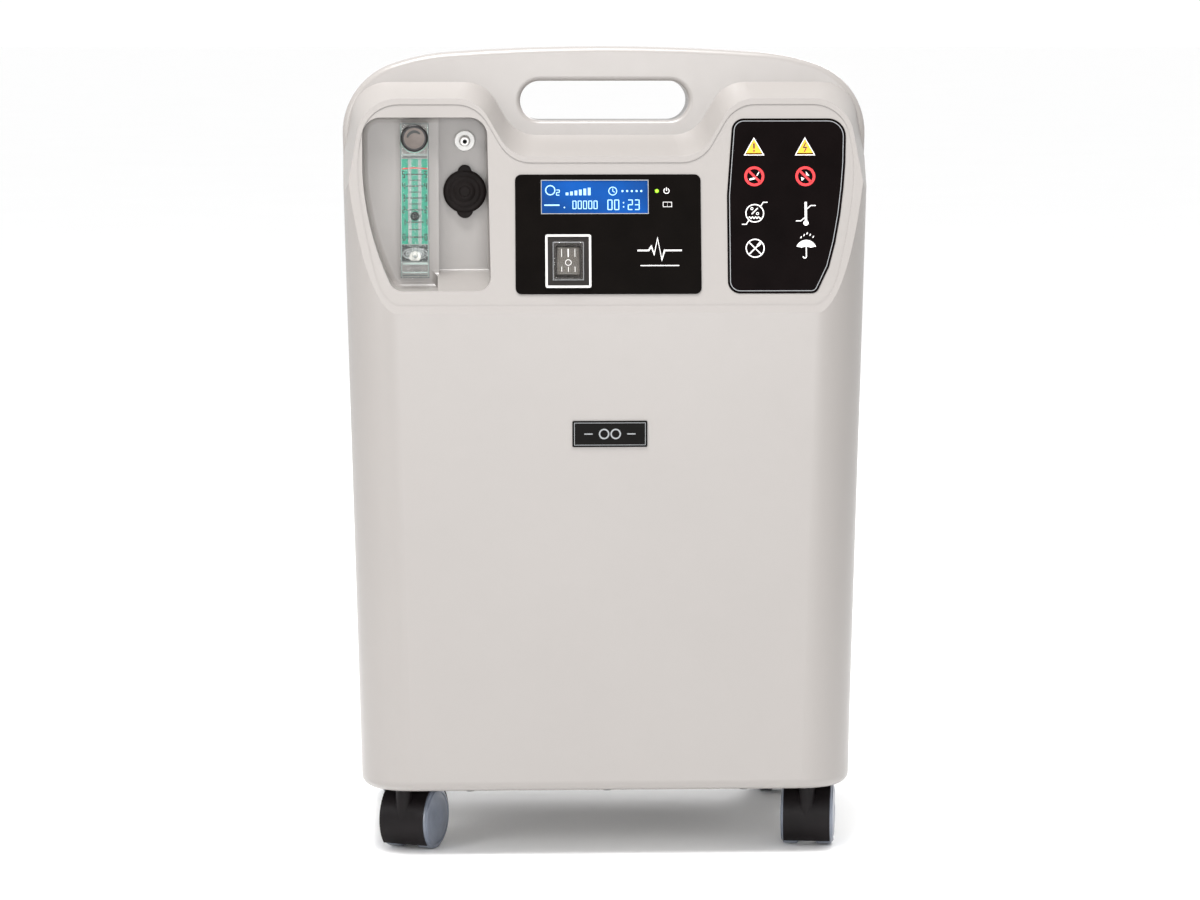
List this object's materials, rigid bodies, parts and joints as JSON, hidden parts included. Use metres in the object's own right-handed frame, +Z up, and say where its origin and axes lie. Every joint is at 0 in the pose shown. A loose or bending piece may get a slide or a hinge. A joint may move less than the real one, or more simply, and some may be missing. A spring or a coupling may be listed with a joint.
{
  "type": "oxygen concentrator",
  "caption": "Upright household oxygen concentrator cabinet with handle arch, flowmeter bay, display panel and swivel casters.",
  "frame": {"origin": "on the floor, under the middle of the cabinet", "axes": "+Z up, -Y towards the front with the panel, +X to the viewer's right"},
  "size_m": [0.3816, 0.2818, 0.59],
  "materials": {
    "shell_plastic": "fine satin moulded ABS",
    "tray_plastic": "satin moulded ABS",
    "screw_steel": "zinc plated",
    "panel_black": "smooth black overlay",
    "display_blue": "blue backlit display",
    "lamp_green": "lit green lens",
    "frame_white": "white moulded frame",
    "switch_black": "black moulded",
    "rocker_smoke": "smoke grey rocker",
    "boot_clear": "clear silicone",
    "label_black": "printed black film",
    "badge_black": "printed black plate",
    "acrylic_clear": "polished clear acrylic",
    "scale_teal": "teal printed film",
    "fitting_metal": "nickel plated brass",
    "ball_black": "polished black ball",
    "knob_black": "black rim with a grey face",
    "valve_brass": "turned brass",
    "outlet_white": "white moulded",
    "housing_white": "white moulded",
    "filter_media": "white filter cartridge",
    "cap_black": "soft black",
    "grille_plastic": "satin moulded ABS",
    "filter_foam": "open cell foam",
    "inlet_black": "black thermoset",
    "breaker_black": "black thermoset",
    "button_white": "white button",
    "stem_steel": "zinc plated",
    "hood_black": "black nylon",
    "axle_steel": "ground steel",
    "wheel_plastic": "dark grey nylon",
    "box_board": "foam lined box",
    "compressor_metal": "cast alloy",
    "spring_steel": "spring steel",
    "fan_black": "black moulded",
    "coil_metal": "bent tube",
    "bed_metal": "drawn canister",
    "manifold_metal": "milled block",
    "valve_metal": "painted coil",
    "canister_white": "white moulded",
    "board_green": "circuit board",
    "hose_clear": "clear silicone tube"
  },
  "bodies": {
    "cabinet": {"front_shell": "shell_plastic", "rear_shell": "shell_plastic", "base_tray": "tray_plastic", "base_screws": "screw_steel", "control_panel": "panel_black", "lcd_module": "display_blue", "status_light": "lamp_green", "switch_frame": "frame_white", "switch_body": "switch_black", "switch_boot": "boot_clear", "safety_label": "label_black", "model_badge": "badge_black", "flowmeter_body": "acrylic_clear", "flowmeter_scale": "scale_teal", "flowmeter_fittings": "fitting_metal", "oxygen_outlet": "outlet_white", "filter_housing": "housing_white", "power_inlet": "inlet_black", "breaker_body": "breaker_black", "caster_stems": "stem_steel", "sound_box": "box_board", "compressor_body": "compressor_metal", "cylinder_heads": "compressor_metal", "compressor_springs": "spring_steel", "cooling_fan_frame": "fan_black", "heat_exchanger": "coil_metal", "sieve_beds": "bed_metal", "product_tank": "bed_metal", "sieve_manifold": "manifold_metal", "solenoid_valve": "valve_metal", "intake_filter": "canister_white", "main_board": "board_green", "hoses": "hose_clear"},
    "power_rocker": {"switch_rocker": "rocker_smoke"},
    "flow_knob": {"flow_knob": "knob_black", "needle_valve": "valve_brass"},
    "float_ball": {"float_ball": "ball_black"},
    "bacteria_filter": {"bacteria_filter": "filter_media"},
    "filter_cap": {"filter_cap": "cap_black"},
    "intake_door": {"intake_grille": "grille_plastic", "cabinet_filter": "filter_foam"},
    "breaker_button": {"breaker_button": "button_white"},
    "compressor_fan": {"compressor_fan": "fan_black"},
    "cooling_fan": {"cooling_fan_rotor": "fan_black"},
    "front_left_caster": {"front_left_caster_hood": "hood_black", "front_left_axle": "axle_steel"},
    "front_left_wheel_left": {"front_left_wheel_left": "wheel_plastic"},
    "front_left_wheel_right": {"front_left_wheel_right": "wheel_plastic"},
    "front_right_caster": {"front_right_caster_hood": "hood_black", "front_right_axle": "axle_steel"},
    "front_right_wheel_left": {"front_right_wheel_left": "wheel_plastic"},
    "front_right_wheel_right": {"front_right_wheel_right": "wheel_plastic"},
    "rear_left_caster": {"rear_left_caster_hood": "hood_black", "rear_left_axle": "axle_steel"},
    "rear_left_wheel_left": {"rear_left_wheel_left": "wheel_plastic"},
    "rear_left_wheel_right": {"rear_left_wheel_right": "wheel_plastic"},
    "rear_right_caster": {"rear_right_caster_hood": "hood_black", "rear_right_axle": "axle_steel"},
    "rear_right_wheel_left": {"rear_right_wheel_left": "wheel_plastic"},
    "rear_right_wheel_right": {"rear_right_wheel_right": "wheel_plastic"}
  },
  "joints": [
    {"name": "rocker_tilt", "type": "hinge", "parent": "cabinet", "child": "power_rocker", "pos_m": [-0.028, -0.13036, 0.4362], "axis": [1, 0, 0], "range_deg": [0, 16]},
    {"name": "knob_turn", "type": "hinge", "parent": "cabinet", "child": "flow_knob", "pos_m": [-0.1384, -0.115, 0.5247], "axis": [0, -1, 0], "range_deg": [-450, 980]},
    {"name": "ball_rise", "type": "slide", "parent": "cabinet", "child": "float_ball", "axis": [0, 0, 1], "range_m": [-0.0157, 0.0342]},
    {"name": "filter_pull", "type": "slide", "parent": "cabinet", "child": "bacteria_filter", "axis": [0, -1, 0], "range_m": [0, 0.06]},
    {"name": "cap_twist", "type": "hinge", "parent": "bacteria_filter", "child": "filter_cap", "pos_m": [-0.102, -0.088, 0.485], "axis": [0, -1, 0], "range_deg": [0, 30]},
    {"name": "door_pull", "type": "slide", "parent": "cabinet", "child": "intake_door", "axis": [0, 1, 0], "range_m": [0, 0.05]},
    {"name": "breaker_push", "type": "slide", "parent": "cabinet", "child": "breaker_button", "axis": [0, -1, 0], "range_m": [0, 0.0015], "stiffness_N_per_m": 400},
    {"name": "compressor_fan_spin", "type": "hinge", "parent": "cabinet", "child": "compressor_fan", "pos_m": [0.125, -0.012, 0.148], "axis": [1, 0, 0], "continuous": true},
    {"name": "cooling_fan_spin", "type": "hinge", "parent": "cabinet", "child": "cooling_fan", "pos_m": [0.04, -0.012, 0.26], "axis": [0, 0, 1], "continuous": true},
    {"name": "front_left_swivel", "type": "hinge", "parent": "cabinet", "child": "front_left_caster", "pos_m": [-0.1487, -0.108, 0.04], "axis": [0, 0, 1], "continuous": true},
    {"name": "front_left_left_roll", "type": "hinge", "parent": "front_left_caster", "child": "front_left_wheel_left", "pos_m": [-0.14128, -0.09051, 0.023], "axis": [0.9205, -0.3907, 0], "continuous": true},
    {"name": "front_left_right_roll", "type": "hinge", "parent": "front_left_caster", "child": "front_left_wheel_right", "pos_m": [-0.14128, -0.09051, 0.023], "axis": [0.9205, -0.3907, 0], "continuous": true},
    {"name": "front_right_swivel", "type": "hinge", "parent": "cabinet", "child": "front_right_caster", "pos_m": [0.1487, -0.108, 0.04], "axis": [0, 0, 1], "continuous": true},
    {"name": "front_right_left_roll", "type": "hinge", "parent": "front_right_caster", "child": "front_right_wheel_left", "pos_m": [0.15134, -0.08919, 0.023], "axis": [0.9903, -0.1392, 0], "continuous": true},
    {"name": "front_right_right_roll", "type": "hinge", "parent": "front_right_caster", "child": "front_right_wheel_right", "pos_m": [0.15134, -0.08919, 0.023], "axis": [0.9903, -0.1392, 0], "continuous": true},
    {"name": "rear_left_swivel", "type": "hinge", "parent": "cabinet", "child": "rear_left_caster", "pos_m": [-0.1487, 0.095, 0.04], "axis": [0, 0, 1], "continuous": true},
    {"name": "rear_left_left_roll", "type": "hinge", "parent": "rear_left_caster", "child": "rear_left_wheel_left", "pos_m": [-0.1487, 0.114, 0.023], "axis": [1, 0, 0], "continuous": true},
    {"name": "rear_left_right_roll", "type": "hinge", "parent": "rear_left_caster", "child": "rear_left_wheel_right", "pos_m": [-0.1487, 0.114, 0.023], "axis": [1, 0, 0], "continuous": true},
    {"name": "rear_right_swivel", "type": "hinge", "parent": "cabinet", "child": "rear_right_caster", "pos_m": [0.1487, 0.095, 0.04], "axis": [0, 0, 1], "continuous": true},
    {"name": "rear_right_left_roll", "type": "hinge", "parent": "rear_right_caster", "child": "rear_right_wheel_left", "pos_m": [0.1487, 0.114, 0.023], "axis": [1, 0, 0], "continuous": true},
    {"name": "rear_right_right_roll", "type": "hinge", "parent": "rear_right_caster", "child": "rear_right_wheel_right", "pos_m": [0.1487, 0.114, 0.023], "axis": [1, 0, 0], "continuous": true}
  ],
  "couplings": [
    {"joint": "knob_turn", "follows": "ball_rise", "rad_per_m": 500}
  ]
}
